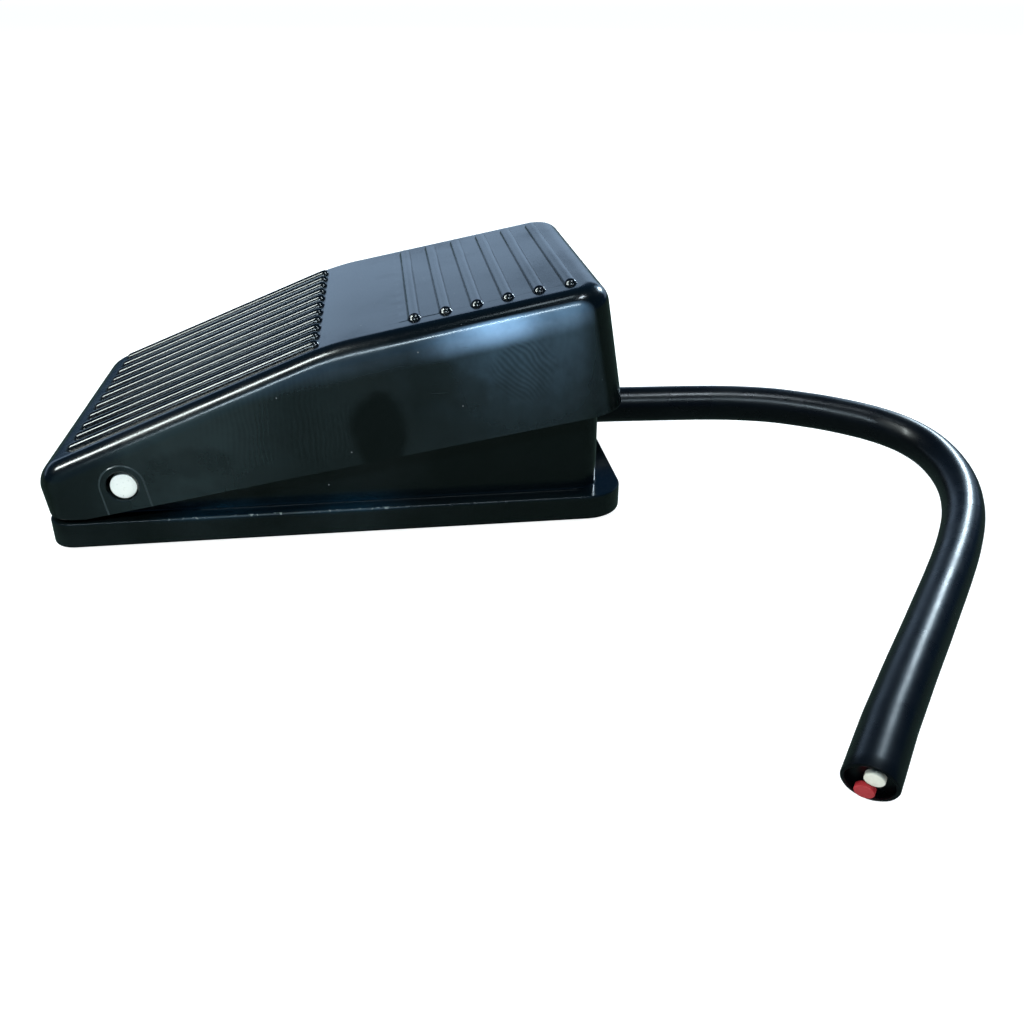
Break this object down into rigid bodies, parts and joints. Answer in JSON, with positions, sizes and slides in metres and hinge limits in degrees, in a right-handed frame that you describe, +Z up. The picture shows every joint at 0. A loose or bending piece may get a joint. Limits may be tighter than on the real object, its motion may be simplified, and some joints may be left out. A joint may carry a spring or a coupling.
{
  "type": "sustain pedal",
  "caption": "Wedge-shaped foot switch pedal: a ribbed cover hinged over a flanged base, with a sprung return, an inner snap-action switch and a round cable cut to a bare end.",
  "frame": {"origin": "middle of the pedal's footprint, on the surface that the rubber sole stands on", "axes": "+X along the pedal from the hinge end to the cable end, +Y across it along the hinge pin, +Z up"},
  "size_m": [0.166, 0.1427, 0.0424],
  "materials": {
    "cover_plastic": "glossy moulded black with a blue cast, fingerprints and fine scratches",
    "base_plastic": "semi-gloss moulded black, worn pale along the flange edge",
    "sole_rubber": "matt, finely textured",
    "pin_steel": "bright cut end",
    "spring_steel": "drawn wire",
    "zinc_steel": "zinc plated",
    "blade_brass": "stamped, slightly dull",
    "switch_plastic": "fine matt phenolic",
    "switch_lid_plastic": "fine matt phenolic",
    "plunger_plastic": "smooth",
    "natural_nylon": "smooth translucent white",
    "grommet_rubber": "matt",
    "cable_jacket": "glossy black flexible jacket",
    "white_insulation": "smooth soft insulation",
    "red_insulation": "smooth soft insulation"
  },
  "bodies": {
    "base": {"base_housing": "base_plastic", "rubber_sole": "sole_rubber", "hinge_pin": "pin_steel", "return_spring": "spring_steel", "switch_case": "switch_plastic", "switch_lid": "switch_lid_plastic", "blade_common": "blade_brass", "blade_normally_open": "blade_brass", "blade_normally_closed": "blade_brass", "sleeve_common": "natural_nylon", "sleeve_normally_open": "natural_nylon", "switch_bracket": "zinc_steel", "switch_screw_1": "zinc_steel", "switch_screw_2": "zinc_steel", "switch_nut_1": "zinc_steel", "switch_nut_2": "zinc_steel", "bracket_screw_1": "zinc_steel", "bracket_screw_2": "zinc_steel", "cable_grommet": "grommet_rubber", "cable_clamp": "natural_nylon", "clamp_screw_1": "zinc_steel", "clamp_screw_2": "zinc_steel", "cable_tail": "cable_jacket", "wire_white": "white_insulation", "wire_red": "red_insulation", "cable": "cable_jacket", "core_white": "white_insulation", "core_red": "red_insulation"},
    "pedal": {"pedal_cover": "cover_plastic"},
    "lever": {"switch_lever": "zinc_steel"},
    "plunger": {"switch_plunger": "plunger_plastic"}
  },
  "joints": [
    {"name": "pedal_hinge", "type": "hinge", "parent": "base", "child": "pedal", "pos_m": [-0.0364, 0, 0.0115], "axis": [0, 1, 0], "range_deg": [0, 9], "stiffness_Nm_per_rad": 3.5, "springref_deg": -5.73, "deforming": ["return_spring"]},
    {"name": "lever_pivot", "type": "hinge", "parent": "base", "child": "lever", "pos_m": [0.0168, -0.016, 0.0214], "axis": [0, 1, 0], "range_deg": [-10.5, 0]},
    {"name": "plunger_slide", "type": "slide", "parent": "base", "child": "plunger", "axis": [0, 0, 1], "range_m": [-0.0011, 0]}
  ],
  "couplings": [
    {"joint": "lever_pivot", "follows": "pedal_hinge", "ratio": -1.15},
    {"joint": "plunger_slide", "follows": "pedal_hinge", "m_per_rad": -0.0065}
  ]
}
